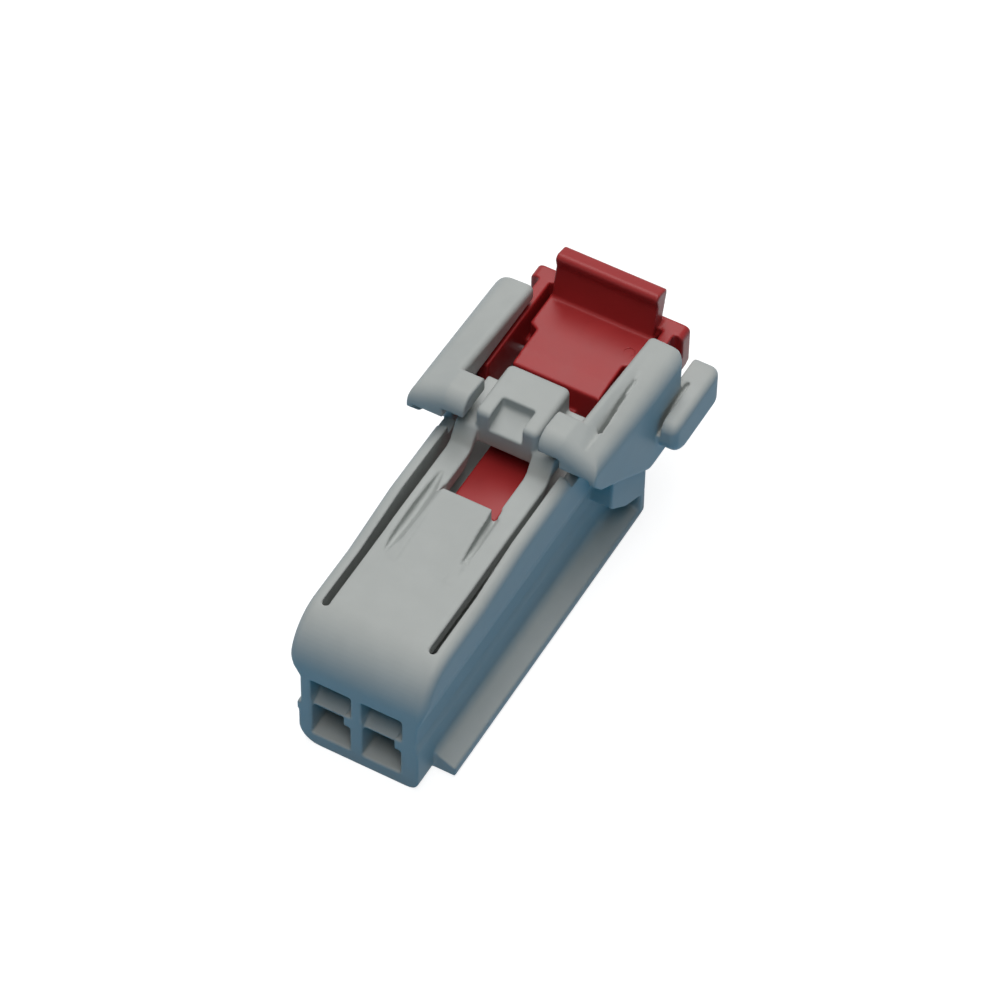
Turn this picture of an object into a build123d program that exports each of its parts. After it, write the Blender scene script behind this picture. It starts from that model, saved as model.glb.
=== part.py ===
from build123d import *
import math
import os

os.makedirs("parts", exist_ok=True)

# All sizes are millimetres.  X is across, Y runs from the mating face to the rear, Z is up.

# Terminal cavities
pitch = 4.2
cavity_width = 3.2
cavity_height = 3.05
bottom_wall = 1.3
relief_height = 2.3
relief_depth = 8.6
relief_side = 0.08
key_width = 0.55
key_height = 0.45
rear_lead_in = 0.35

# Flexible lances that lock the terminals
lance_thickness = 0.75
lance_gap = 0.12
lance_setback = 0.3
lance_nose_rise = 0.95
lance_nose_length = 2.4
lance_arch_radius = 2.2
lance_tip_drop = 0.15
lance_tip_radius = 0.1

# Lower body
body_length = 31.0
side_wall_left = 1.1
side_wall_right = 1.45
deck_wall = 1.0
base_radius = 0.9
base_radius_left = 1.7
neck_depth = 0.2
neck_rise = 0.05
side_ledge = 0.22
side_rib = 0.14
side_rib_height = 0.9
side_rib_slope = 0.15
ledge_rise = 0.1
ledge_radius = 0.1

# Keying rail along the right side
rail_start = 2.4
rail_reach = 1.75
rail_edge = 0.85
rail_lift = 0.25
rail_root = 1.75
rail_root_radius = 0.9
rail_foot_radius = 0.12
rail_edge_radius = 0.25

# Hood, with the side rails beside the latch
hood_length = 21.5
hood_nose_radius = 4.0
hood_skirt = 1.9
hood_skirt_radius = 0.6
hood_edge_radius = 0.8
side_rail = 1.0
side_rail_rise = 0.7
ramp_start = 8.75
ramp_length = 5.9
ramp_radius = 2.0

# Latch arm
flex_room = 2.8
arm_inset = 1.03
arm_root = 3.5
arm_thickness = 1.15
arm_bend_radius = 3.0
strip_rise = 0.15
slit = 0.56
root_radius = 0.5
window_length = 5.5
window_side = 0.25
groove_start = 9.3
groove_width = 0.36
groove_depth = 0.55
groove_slant = 0.7
groove_tip_width = 0.1
groove_run_out = 0.9
plateau_half = 2.05
plateau_rise = 0.85

# Thumb pad at the free end of the latch
pad_setback = 0.2
pad_side = 0.3
pad_length = 5.3
pad_rise = 1.9
pad_radius = 0.45
pad_corner_radius = 0.5
pad_recess_half = 1.35
pad_recess_length = 2.1
pad_recess_step = 0.1
pad_recess_rise = 0.8
pad_recess_radius = 0.2
pad_notch = 0.4
pad_notch_drop = 0.35
arm_rear_rise = 1.05
arm_rear_thickness = 1.5
arm_step_length = 1.1
arm_step_radius = 0.8
arm_under_radius = 1.0
arm_top_radius = 0.5
arm_end_radius = 0.3

# Guard arms on both sides of the latch, with crossbars over it
guard_lap = 0.6
guard_overhang = 3.9
guard_reach = 2.17
guard_spread = 0.15
guard_gap = 0.17
guard_rise = 4.15
guard_end_drop = 1.75
guard_outer_drop = 1.4
guard_outer_end_drop = 1.85
guard_lip_drop = 3.0
guard_chin_length = 1.1
guard_chin_drop = 4.45
guard_chin_radius = 0.8
guard_heel_setback = 1.3
guard_heel_radius = 1.2
guard_foot_drop = 1.2
guard_edge_radius = 1.3
guard_rim_radius = 0.45
guard_corner_radius = 1.2
guard_skin = 1.1
guard_roof_wall = 1.2
lip_scoop_wall = 0.3
lip_scoop_depth = 1.2
lip_scoop_skin = 0.5
lip_scoop_radius = 0.6
channel_wall = 1.0
channel_radius = 0.3
crossbar_gap = 0.47
crossbar_thickness = 1.75
crossbar_length = 3.3
crease_depth = 0.75
crease_width = 1.1
crease_setback = 0.2
crease_length = 6.8
crease_inset = 1.4
crease_slant = 0.5
crease_bend_share = 0.35
crease_roll_share = 0.3
crease_wall_share = 0.1
valley_depth = 0.25
crease_fade = 0.1

# Block and wing low down at the rear
heel_length = 5.55
heel_inset = 1.0
heel_height = 4.1
heel_front_drop = 0.9
heel_bend_length = 3.1
heel_bend_drop = 3.05
heel_end_drop = 4.7
heel_radius = 1.2
heel_end_radius = 0.4
side_wall_lap = 1.05
rail_end_rib = 0.8
platform_drop = 0.8
platform_setback = 0.4
wing_root = 0.65
wing_reach = 1.6
wing_length = 7.4
wing_overhang = 2.9
wing_lift = 1.0
wing_height = 3.55
wing_radius = 1.25
wing_top_radius = 0.9
wing_front_radius = 1.9
wing_corner_radius = 1.1
wing_edge_radius = 0.6
wing_inner_radius = 0.4
wing_groove = 0.25
wing_groove_depth = 1.4
wing_groove_run_out = 0.2
wing_groove_radius = 0.1

# Slider that assures the position of the latch
slide_clearance = 0.28
slider_travel = 2.0
slider_nose_gap = 0.7
slider_floor_rise = 1.9
slider_floor_gap = 1.2
slider_floor_step = 0.75
slider_step_setback = 1.9
slider_crease = 1.6
slider_crease_radius = 1.0
slider_floor_drop = 0.15
slider_nose_radius = 0.2
slider_nose_lean = 0.2
shoulder_gap = 0.2
shoulder_thickness = 1.3
shoulder_rise = 0.6
shoulder_drop = 0.12
shoulder_radius = 0.5
slider_base = 0.95
slider_arm_gap = 0.4
slider_arm_thickness = 0.92
slider_arm_proud = 0.07
slider_arm_radius = 0.3
guide_height = 1.5
tongue_gap = 0.35
tongue_setback = 0.5
tongue_thickness = 1.0
tongue_chamfer = 0.3
tab_margin = 0.1
tab_setback = 0.7
tab_thickness = 1.3
tab_height = 4.05
tab_lean = 13.0
tab_lip = 0.35
tab_lip_height = 0.55
tab_lip_slope = 0.7
tab_lip_radius = 0.5
tab_radius = 0.4
tab_foot_radius = 0.3

# Lap between joined forms, a small distance for finding edges, a length beyond everything
overlap = 0.4
near = 0.05
beyond = 60.0

# Heights that follow from the sizes above
lance_bottom = bottom_wall + cavity_height
relief_bottom = lance_bottom + lance_thickness
relief_top = relief_bottom + relief_height
deck = relief_top + deck_wall
arm_bottom = deck + flex_room
hood_top = arm_bottom + arm_thickness
strip_top = hood_top + strip_rise
rail_top = hood_top + side_rail_rise
neck_bottom = lance_bottom + neck_rise
ledge_height = lance_bottom + ledge_rise
arm_rear_top = rail_top + arm_rear_rise
arm_rear_bottom = arm_rear_top - arm_rear_thickness
pad_top = arm_rear_top + pad_rise
pad_recess_floor = arm_rear_top + pad_recess_step
guard_peak = rail_top + guard_rise
guard_end_top = guard_peak - guard_end_drop
guard_outer_top = guard_peak - guard_outer_drop
guard_outer_end_top = guard_peak - guard_outer_end_drop
guard_lip_height = guard_peak - guard_lip_drop
guard_chin_height = guard_peak - guard_chin_drop
guard_bottom = deck - guard_foot_drop
guard_roof = guard_end_top - guard_roof_wall
lip_scoop_height = guard_lip_height + lip_scoop_wall
wing_bottom = guard_bottom + wing_lift
wing_top = wing_bottom + wing_height
heel_end_bottom = guard_bottom - heel_end_drop
tongue_top = arm_bottom - slide_clearance
slider_bottom = tongue_top - tongue_thickness
slider_floor = arm_bottom + slider_floor_rise
shoulder_top = slider_floor + shoulder_rise
channel_floor = slider_bottom - slide_clearance

# Widths, measured from the centre plane
body_left = pitch / 2 + cavity_width / 2 + side_wall_left
body_right = pitch / 2 + cavity_width / 2 + side_wall_right
arm_half = body_right - arm_inset
bay_half = arm_half + slit
hood_half = bay_half + side_rail
window_half = plateau_half + window_side
groove_tip_x = plateau_half + groove_slant
pad_half = window_half + pad_side
crossbar_inner = pad_half + crossbar_gap
guard_inner = bay_half + guard_gap
guard_front_half = hood_half + guard_reach
guard_half = guard_front_half + guard_spread
heel_half = guard_half - heel_inset
wing_inner = guard_half - wing_root
wing_outer = guard_half + wing_reach
channel_half = guard_front_half - guard_skin
sled_half = channel_half - slide_clearance
slider_arm_inner = guard_inner - slider_arm_proud
slider_arm_outer = slider_arm_inner + slider_arm_thickness
slider_floor_half = guard_inner - slider_floor_gap
slider_wide_half = slider_floor_half + slider_floor_step
tongue_half = window_half - tongue_gap
tab_half = slider_wide_half - tab_margin

# Places along the length
ramp_end = ramp_start + ramp_length
pad_start = hood_length + pad_setback
pad_end = pad_start + pad_length
pad_recess_end = pad_start + pad_recess_length
window_start = pad_start - window_length
arm_rear_start = pad_start - arm_step_length
arm_rear_end = pad_end - pad_notch
guard_start = hood_length - guard_lap
guard_end = body_length + guard_overhang
guard_chin_y = guard_start + guard_chin_length
guard_heel_y = body_length - guard_heel_setback
guard_slope = (guard_chin_height - guard_bottom) / (guard_heel_y - guard_chin_y)
crossbar_end = guard_start + crossbar_length
channel_start = crossbar_end + channel_wall
channel_front_floor = guard_chin_height + guard_skin - guard_slope * (channel_start - guard_chin_y)
channel_bend_y = channel_start + (channel_front_floor - channel_floor) / guard_slope
crease_start = crossbar_end + crease_setback
crease_end = crease_start + crease_length
heel_start = body_length - heel_length
heel_bend_y = body_length - heel_bend_length
side_wall_end = heel_start + side_wall_lap
wing_end = guard_end + wing_overhang
wing_start = wing_end - wing_length
slider_wall_front = guard_end + slider_travel + shoulder_gap
slider_end = slider_wall_front + shoulder_thickness
slider_rear = slider_end - shoulder_thickness / 3
slider_arm_front = channel_start + slider_travel + slider_arm_gap
slider_arm_bend_y = channel_bend_y + slider_travel
slider_arm_foot = slider_bottom + guard_slope * (slider_arm_bend_y - slider_arm_front)
slider_floor_front = arm_rear_end + slider_travel + slider_nose_gap
slider_crease_y = slider_floor_front + slider_crease
slider_step_y = guard_end - slider_step_setback
tongue_tip = window_start + tongue_setback
tab_foot = slider_wall_front - tab_setback


def block(x0, x1, y0, y1, z0, z1):
    """A plain block between two corners."""
    centre = Pos((x0 + x1) / 2, (y0 + y1) / 2, (z0 + z1) / 2)
    return centre * Box(x1 - x0, y1 - y0, z1 - z0)


def rounded_outline(corners):
    """A closed outline through (a, b, radius) corners, each rounded by its own radius."""
    edges = []
    ends = []
    count = len(corners)
    for i in range(count):
        here = Vector(corners[i][0], corners[i][1])
        before = Vector(corners[i - 1][0], corners[i - 1][1])
        after = Vector(corners[(i + 1) % count][0], corners[(i + 1) % count][1])
        radius = corners[i][2]
        to_before = (before - here).normalized()
        to_after = (after - here).normalized()
        if radius <= 0:
            ends.append((here, here))
            continue
        half_angle = math.radians(to_before.get_angle(to_after)) / 2
        reach = radius / math.tan(half_angle)
        first = here + to_before * reach
        last = here + to_after * reach
        inward = (to_before + to_after).normalized()
        middle = here + inward * (radius / math.sin(half_angle) - radius)
        edges.append(ThreePointArc(first, middle, last))
        ends.append((first, last))
    for i in range(count):
        start = ends[i][1]
        stop = ends[(i + 1) % count][0]
        if (stop - start).length > 1e-6:
            edges.append(Line(start, stop))
    return make_face(edges)


def across(corners, x0, x1):
    """A solid whose side view (Y, Z) is the outline, between two X positions."""
    return extrude(Plane.YZ.offset(x0) * rounded_outline(corners), x1 - x0)


def along(corners, y0, y1):
    """A solid whose front view (X, Z) is the outline, between two Y positions."""
    return extrude(Plane.XZ.offset(-y0) * rounded_outline(corners), y0 - y1)


def upright(corners, z0, z1):
    """A solid whose top view (X, Y) is the outline, between two heights."""
    return extrude(Plane.XY.offset(z0) * rounded_outline(corners), z1 - z0)


def both_sides(shape):
    """The shape and its mirror image across the centre plane."""
    return shape + mirror(shape, Plane.YZ)


def edges_between(shape, axis, x0, x1, y0, y1, z0, z1):
    """Edges whose middle lies inside the given limits, and which aren't along the axis."""
    found = []
    for edge in shape.edges():
        middle = edge.position_at(0.5)
        inside_x = x0 < middle.X < x1
        inside_y = y0 < middle.Y < y1
        inside_z = z0 < middle.Z < z1
        if inside_x and inside_y and inside_z:
            direction = edge.tangent_at(0.5)
            if abs(direction.dot(axis)) < 0.5:
                found.append(edge)
    return found


# Housing

def lower_body():
    """The block that holds the terminals, narrower at the left neck, with a ledge at the right."""
    outline = [
        (-body_left, 0, base_radius_left),
        (body_right, 0, base_radius),
        (body_right, ledge_height, ledge_radius),
        (body_right - side_ledge, ledge_height, 0),
        (body_right, deck, 0),
        (-body_left + neck_depth, deck, 0),
        (-body_left + neck_depth, neck_bottom, 0),
        (-body_left - side_rib, neck_bottom - side_rib_slope, ledge_radius),
        (-body_left - side_rib, neck_bottom - side_rib_height, ledge_radius),
        (-body_left, neck_bottom - side_rib_height - side_rib, 0),
    ]
    return along(outline, 0, body_length)


def hood():
    """The hood over the front: rounded nose, skirts that draw in below, rails rising behind."""
    skirt = deck - deck_wall
    front_view = [
        (-body_left + neck_depth, skirt, 0),
        (body_right, skirt, 0),
        (hood_half, skirt + hood_skirt, hood_skirt_radius),
        (hood_half, beyond, 0),
        (-hood_half, beyond, 0),
        (-hood_half, skirt + hood_skirt, hood_skirt_radius),
    ]
    side_view = [
        (0, skirt, 0),
        (0, hood_top, hood_nose_radius),
        (ramp_start, hood_top, ramp_radius),
        (ramp_end, rail_top, ramp_radius),
        (hood_length, rail_top, 0),
        (hood_length, skirt, 0),
    ]
    shape = across(side_view, -hood_half, hood_half)
    for side in (-hood_half, hood_half):
        roof_edges = edges_between(
            shape, Vector(1, 0, 0), side - near, side + near, -near, hood_length - near,
            skirt + near, beyond)
        shape = fillet(roof_edges, hood_edge_radius)
    wall = block(-hood_half, hood_half, hood_length - overlap, side_wall_end,
                 skirt, rail_top - hood_edge_radius)
    return (shape + wall) & along(front_view, -overlap, side_wall_end)


def keying_rail():
    """The wedge-shaped rail low on the right side."""
    root = body_right
    outline = [
        (root - overlap, rail_lift, 0),
        (root + rail_reach, rail_lift, rail_foot_radius),
        (root + rail_reach, rail_lift + rail_edge, rail_edge_radius),
        (root, rail_lift + rail_root, rail_root_radius),
        (root, ledge_height - overlap, 0),
        (root - overlap, ledge_height - overlap, 0),
    ]
    return along(outline, rail_start, body_length)


def guard_section(y, half, outer_top, inner_top):
    """Front view of a guard arm, with its crossbar, at one place along its length."""
    corners = [
        (crossbar_inner, 0, 0),
        (half, 0, 0),
        (half, outer_top, 0),
        (guard_inner, inner_top, 0),
        (crossbar_inner, inner_top, 0),
    ]
    return Plane.XZ.offset(-y) * rounded_outline(corners)


def guards():
    """Both guard arms with their crossbars: twisted top, slanting underside, rounded edges."""
    front = guard_section(guard_start, guard_front_half, guard_outer_top, guard_peak)
    rear = guard_section(guard_end, guard_half, guard_outer_end_top, guard_end_top)
    outline = [
        (guard_start, guard_lip_height, 0),
        (guard_start, beyond, 0),
        (guard_end, beyond, 0),
        (guard_end, guard_bottom, 0),
        (guard_heel_y, guard_bottom, guard_heel_radius),
        (guard_chin_y, guard_chin_height, guard_chin_radius),
    ]
    arm = loft([front, rear], ruled=True) & across(outline, 0, beyond)
    arm = arm - block(0, guard_inner, crossbar_end, beyond, 0, beyond)
    arm = arm - block(0, guard_inner, 0, beyond, 0, guard_peak - crossbar_thickness)
    chain = []
    for edge in arm.edges():
        middle = edge.position_at(0.5)
        on_side = middle.X > guard_front_half - near and middle.Z > guard_outer_end_top
        on_front = middle.X > crossbar_inner + near and middle.Z > guard_outer_top
        if on_side and middle.Y < guard_end - near or on_front and middle.Y < guard_start + near:
            chain.append(edge)
    arm = fillet(chain, guard_edge_radius)
    rim = [
        edge for group in arm.faces().sort_by(Axis.Y)[-1].edges().group_by(Axis.Z)[1:]
        for edge in group
    ]
    rim += edges_between(
        arm, Vector(0, 0, 1), 0, guard_inner + near, crossbar_end - near, guard_end - near,
        guard_peak - crossbar_thickness + near, beyond)
    arm = fillet(rim, guard_rim_radius)
    plan = [
        (0, guard_start, 0),
        (guard_half, guard_start, 0),
        (guard_half, guard_end, guard_corner_radius),
        (0, guard_end, 0),
    ]
    arm = arm & upright(plan, 0, beyond)
    return both_sides(arm - lip_scoop())


def lip_scoop():
    """Hollow under the front lip of a guard arm, between the hood and the arm's outer skin."""
    outline = [
        (guard_start - overlap, guard_bottom, 0),
        (guard_start - overlap, lip_scoop_height, 0),
        (guard_start + lip_scoop_depth, lip_scoop_height, lip_scoop_radius),
        (guard_chin_y + 2 * lip_scoop_depth, guard_bottom, 0),
    ]
    return across(outline, hood_half - side_rail, guard_front_half - lip_scoop_skin)


def channels():
    """Space inside the guard arms in which the slider runs."""
    outline = [
        (channel_start, channel_front_floor, channel_radius),
        (channel_start, guard_roof, channel_radius),
        (guard_end + overlap, guard_roof, 0),
        (guard_end + overlap, channel_floor, 0),
        (channel_bend_y, channel_floor, channel_radius),
    ]
    return both_sides(across(outline, bay_half - overlap, channel_half))


def bay():
    """Open space around the latch, from the root of the arm to the rear."""
    outline = [
        (arm_root, deck, root_radius),
        (arm_root, beyond, 0),
        (guard_end + overlap, beyond, 0),
        (guard_end + overlap, deck, 0),
    ]
    return across(outline, -bay_half, bay_half)


def platform():
    """Floor under the slider at the rear, with the heel blocks that carry it."""
    floor = block(-channel_half - overlap, channel_half + overlap, guard_heel_y,
                  guard_end - platform_setback, guard_bottom - platform_drop, deck)
    outline = [
        (heel_start, guard_bottom - heel_front_drop, heel_radius),
        (heel_start, guard_bottom - heel_front_drop + heel_height, 0),
        (body_length, guard_bottom + overlap, 0),
        (body_length, heel_end_bottom, heel_end_radius),
        (heel_bend_y, guard_bottom - heel_bend_drop, heel_radius),
    ]
    heel = across(outline, body_left - overlap, heel_half)
    return floor + both_sides(heel)


def rail_end():
    """Short rib that joins the keying rail to the heel at the rear."""
    foot = rail_lift + rail_edge / 2
    return block(body_right - overlap, heel_half, body_length - rail_end_rib, body_length,
                 foot, heel_end_bottom + overlap)


def wing():
    """Rounded wing outside the right guard arm, reaching past its end."""
    outline = [
        (wing_start, wing_bottom, wing_front_radius),
        (wing_start, wing_top, wing_top_radius),
        (wing_end, wing_top, wing_top_radius),
        (wing_end, wing_bottom, wing_radius),
    ]
    plan = [
        (wing_inner, wing_start - overlap, 0),
        (wing_outer, wing_start - overlap, 0),
        (wing_outer, wing_end, wing_corner_radius),
        (wing_inner, wing_end, wing_inner_radius),
    ]
    plate = across(outline, wing_inner, wing_outer) & upright(plan, 0, beyond)
    outer_face = plate.faces().filter_by(lambda face: face.normal_at().X > 0.9)[0]
    long_edges = outer_face.edges().filter_by(Axis.Y)
    return fillet(long_edges, wing_edge_radius)


def wing_seam():
    """Narrow groove that parts the wing from the guard arm along its top."""
    plan = [
        (guard_half - near, wing_start - overlap, 0),
        (guard_half + wing_groove, wing_start - overlap, 0),
        (guard_half + wing_groove, guard_end + wing_groove_run_out, wing_groove_radius),
        (guard_half - near, guard_end + wing_groove_run_out, 0),
    ]
    return upright(plan, wing_top - wing_groove_depth, beyond)


def latch_arm():
    """The spring arm: flat front, rising plateau between two grooves, window, raised rear."""
    step_foot = pad_start - overlap
    outline = [
        (arm_root, deck - deck_wall, 0),
        (0, deck - deck_wall, 0),
        (0, hood_top, hood_nose_radius),
        (ramp_start, hood_top, arm_bend_radius),
        (ramp_end, strip_top, arm_bend_radius),
        (arm_rear_start, strip_top, arm_step_radius),
        (pad_start, arm_rear_top, arm_top_radius),
        (arm_rear_end, arm_rear_top, arm_end_radius),
        (arm_rear_end, arm_rear_bottom, arm_end_radius),
        (step_foot, arm_rear_bottom, arm_under_radius),
        (step_foot - (arm_rear_bottom - arm_bottom), arm_bottom, arm_under_radius),
        (arm_root, arm_bottom, root_radius),
    ]
    arm = across(outline, -arm_half, arm_half) + plateau()
    window = block(-window_half, window_half, window_start, pad_start + near, deck, beyond)
    return arm - both_sides(groove()) - window


def plateau():
    """Raised middle of the arm, narrowing and rising toward the window."""
    side = [
        (groove_start, arm_bottom, 0),
        (groove_start, hood_top - near / 2, 0),
        (window_start, hood_top + plateau_rise, 0),
        (window_start, arm_bottom, 0),
    ]
    plan = [
        (-groove_tip_x, groove_start, 0),
        (groove_tip_x, groove_start, 0),
        (plateau_half, window_start, 0),
        (-plateau_half, window_start, 0),
    ]
    return across(side, -groove_tip_x, groove_tip_x) & upright(plan, 0, beyond)


def groove():
    """Groove beside the plateau, deeper and wider toward the window."""
    groove_end = window_start + groove_run_out
    side = [
        (groove_start, hood_top, 0),
        (groove_start, beyond, 0),
        (groove_end, beyond, 0),
        (groove_end, strip_top - groove_depth, 0),
    ]
    plan = [
        (groove_tip_x - groove_tip_width / 2, groove_start, 0),
        (groove_tip_x + groove_tip_width / 2, groove_start, 0),
        (plateau_half + groove_width, groove_end, 0),
        (plateau_half, groove_end, 0),
    ]
    return across(side, 0, arm_half) & upright(plan, 0, beyond)


def thumb_pad():
    """The thumb pad: a block open to the front by a recess with a rising floor."""
    corners = [
        (-pad_half, pad_start, pad_corner_radius),
        (pad_half, pad_start, pad_corner_radius),
        (pad_half, pad_end, pad_corner_radius),
        (-pad_half, pad_end, pad_corner_radius),
    ]
    pad = upright(corners, arm_rear_bottom, pad_top)
    pad = fillet(pad.edges().group_by(Axis.Z)[-1], pad_radius)
    recess = across(
        [
            (pad_start - overlap, pad_recess_floor, 0),
            (pad_start - overlap, beyond, 0),
            (pad_recess_end, beyond, 0),
            (pad_recess_end, pad_recess_floor + pad_recess_rise, pad_recess_radius),
        ],
        -pad_recess_half, pad_recess_half)
    notch = block(-pad_half - overlap, pad_half + overlap, arm_rear_end, pad_end + overlap, 0,
                  arm_rear_top - pad_notch_drop)
    return pad - recess - notch


def cavity(x):
    """One terminal cavity with its keyed corner, relief slot and rear lead-in."""
    half = cavity_width / 2
    front = -overlap
    rear = body_length + overlap
    channel = block(x - half, x + half, front, rear, bottom_wall, relief_bottom)
    key = block(x + half - key_width, x + half + near, front, relief_depth,
                lance_bottom - key_height, relief_bottom)
    behind = block(x - half, x + half, relief_depth, rear, lance_bottom, relief_bottom)
    relief = block(x - half - relief_side, x + half + relief_side, front, relief_depth,
                   relief_bottom, relief_top)
    mouth_z = bottom_wall + cavity_height / 2
    rear_face = Rectangle(cavity_width + 2 * rear_lead_in, cavity_height + 2 * rear_lead_in)
    inner_face = Rectangle(cavity_width, cavity_height)
    rear_plane = Plane.XZ.offset(-body_length - near / 5)
    inner_plane = Plane.XZ.offset(-body_length + rear_lead_in)
    mouth = [rear_plane * Pos(x, mouth_z) * rear_face, inner_plane * Pos(x, mouth_z) * inner_face]
    return channel - key - behind + relief + loft(mouth)


def lance(x):
    """Spring finger above the terminal, with a rising nose whose rear edge is arched."""
    half = cavity_width / 2
    left = x - half + lance_gap
    right = x + half - key_width - lance_gap
    nose_top = relief_bottom + lance_nose_rise
    nose_end = lance_setback + lance_nose_length
    finger = block(left, right, lance_setback, relief_depth + overlap / 2, lance_bottom,
                   relief_bottom - lance_tip_radius)
    nose = across(
        [
            (lance_setback, lance_bottom, 0),
            (lance_setback, relief_bottom - lance_tip_drop, lance_tip_radius),
            (nose_end, nose_top, lance_tip_radius),
            (nose_end + overlap, nose_top, 0),
            (nose_end + overlap, lance_bottom, 0),
        ],
        left, right)
    arch = Pos((left + right) / 2, nose_end - lance_arch_radius, 0)
    return finger + (nose & arch * Cylinder(lance_arch_radius, beyond))


def guard_top(x, y):
    """Height of the guard arm's sloping top at one place."""
    share = (y - guard_start) / (guard_end - guard_start)
    half = guard_front_half + guard_spread * share
    inner = guard_peak - guard_end_drop * share
    outer = guard_outer_top + (guard_outer_end_top - guard_outer_top) * share
    return inner + (outer - inner) * (x - guard_inner) / (half - guard_inner)


def crease_section(y, x, width, depth):
    """Front view of the crease: it rolls down outwards and ends in a steep wall."""
    start = Vector(x - width, guard_top(x - width, y))
    foot = Vector(x, guard_top(x, y) - depth)
    bend = x - crease_bend_share * width
    middle = Vector(bend, guard_top(bend, y) - crease_roll_share * depth)
    wall = Vector(x + crease_wall_share * width, foot.Y + 2 * crease_depth)
    corner = Vector(start.X, wall.Y)
    edges = [ThreePointArc(start, middle, foot), Line(foot, wall), Line(wall, corner),
             Line(corner, start)]
    return Plane.XZ.offset(-y) * make_face(edges)


def crease():
    """Tapered groove on top of the right guard arm, with a shallow valley in front of it."""
    front_x = guard_front_half - crease_inset
    rear_x = front_x - crease_slant
    deep = crease_section(crease_start, front_x, crease_width, crease_depth)
    end = crease_section(crease_end, rear_x, crease_width / 2, crease_depth * crease_fade)
    shallow = crease_section(crease_start, front_x, crease_width, valley_depth)
    lip = crease_section(guard_start, front_x, crease_width / 2, valley_depth * crease_fade)
    return loft([deep, end], ruled=True) + loft([lip, shallow], ruled=True)


def housing():
    """The moulded housing in one piece."""
    shell = lower_body() + hood() - bay()
    shell = shell + guards() + platform() + wing() + keying_rail() + rail_end()
    shell = shell - channels() - crease() - wing_seam()
    shell = shell + latch_arm() + thumb_pad()
    for side in (-1, 1):
        x = side * pitch / 2
        shell = shell - cavity(x) + lance(x)
    for side in (-1, 1):
        end = Pos(side * (arm_half + slit / 2), arm_root, (arm_bottom + rail_top) / 2)
        shell = shell - end * Cylinder(slit / 2, rail_top - arm_bottom + 2)
    return shell


# Slider

def slider():
    """The position assurance slider in one piece."""
    base = block(-sled_half, sled_half, slider_step_y + overlap, slider_rear,
                 slider_bottom, slider_bottom + slider_base)
    tongue = block(-tongue_half, tongue_half, tongue_tip, slider_floor_front + overlap,
                   slider_bottom, tongue_top)
    tongue = chamfer(tongue.edges().group_by(Axis.Y)[0].filter_by(Axis.X), tongue_chamfer)
    return base + tongue + raised_floor() + both_sides(slider_arm()) + shoulders() + finger_tab()


def raised_floor():
    """Floor between the guard arms, sloping a little at its front and wider at its rear."""
    half = slider_floor_half
    wide = slider_wide_half
    side = [
        (slider_floor_front - slider_nose_lean, slider_bottom, 0),
        (slider_floor_front, slider_floor - slider_floor_drop, slider_nose_radius),
        (slider_crease_y, slider_floor, slider_crease_radius),
        (slider_rear, slider_floor, 0),
        (slider_rear, slider_bottom, 0),
    ]
    plan = [
        (-half, slider_floor_front - overlap, 0),
        (half, slider_floor_front - overlap, 0),
        (half, slider_step_y, 0),
        (wide, slider_step_y + overlap, 0),
        (wide, slider_rear, 0),
        (-wide, slider_rear, 0),
        (-wide, slider_step_y + overlap, 0),
        (-half, slider_step_y, 0),
    ]
    return across(side, -wide, wide) & upright(plan, 0, beyond)


def slider_arm():
    """Side arm for the right channel: slanting underside like its floor, wider guide behind."""
    arm_side = [
        (slider_arm_bend_y, slider_bottom, 0),
        (slider_arm_front, slider_arm_foot, slider_arm_radius),
        (slider_arm_front, shoulder_top, slider_arm_radius),
        (slider_rear, shoulder_top, 0),
        (slider_rear, slider_bottom, 0),
    ]
    guide_side = [
        (slider_arm_bend_y, slider_bottom, slider_arm_radius),
        (slider_arm_bend_y, slider_bottom + guide_height, slider_arm_radius),
        (slider_rear, slider_bottom + guide_height, 0),
        (slider_rear, slider_bottom, 0),
    ]
    arm = across(arm_side, slider_arm_inner, slider_arm_outer)
    return arm + across(guide_side, slider_arm_inner, sled_half)


def shoulders():
    """Cross wall that stops against both guard arms."""
    low = slider_bottom - shoulder_drop
    outline = [
        (-sled_half, low, shoulder_radius),
        (sled_half, low, shoulder_radius),
        (sled_half, shoulder_top, shoulder_radius),
        (-sled_half, shoulder_top, shoulder_radius),
    ]
    return along(outline, slider_wall_front, slider_end)


def leaned(back, up):
    """A place (Y, Z) on the leaning tab: so far behind its front face and above its foot."""
    angle = math.radians(tab_lean)
    y = tab_foot + back * math.cos(angle) + up * math.sin(angle)
    z = slider_floor - back * math.sin(angle) + up * math.cos(angle)
    return y, z


def finger_tab():
    """Upright tab, leaning to the rear, thicker along its rounded top edge, hollow at its foot."""
    root = slider_floor - slider_base
    floor_end = tab_foot - 4 * tab_foot_radius
    lip_foot = tab_height - tab_lip_height
    outline = [
        (floor_end, slider_floor, 0),
        (*leaned(0, 0), tab_foot_radius),
        (*leaned(0, lip_foot - tab_lip_slope), tab_lip_radius),
        (*leaned(-tab_lip, lip_foot), tab_lip_radius),
        (*leaned(-tab_lip, tab_height), tab_radius),
        (*leaned(tab_thickness, tab_height), tab_radius),
        (*leaned(tab_thickness, 0), 0),
        (tab_foot + tab_thickness, root, 0),
        (floor_end, root, 0),
    ]
    return across(outline, -tab_half, tab_half)


def to_base_middle(shapes):
    """The move that puts the middle of the base of the common box at the origin."""
    boxes = [shape.bounding_box() for shape in shapes]
    middle_x = (min(box.min.X for box in boxes) + max(box.max.X for box in boxes)) / 2
    middle_y = (min(box.min.Y for box in boxes) + max(box.max.Y for box in boxes)) / 2
    base = min(box.min.Z for box in boxes)
    return Pos(-middle_x, -middle_y, -base)


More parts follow.
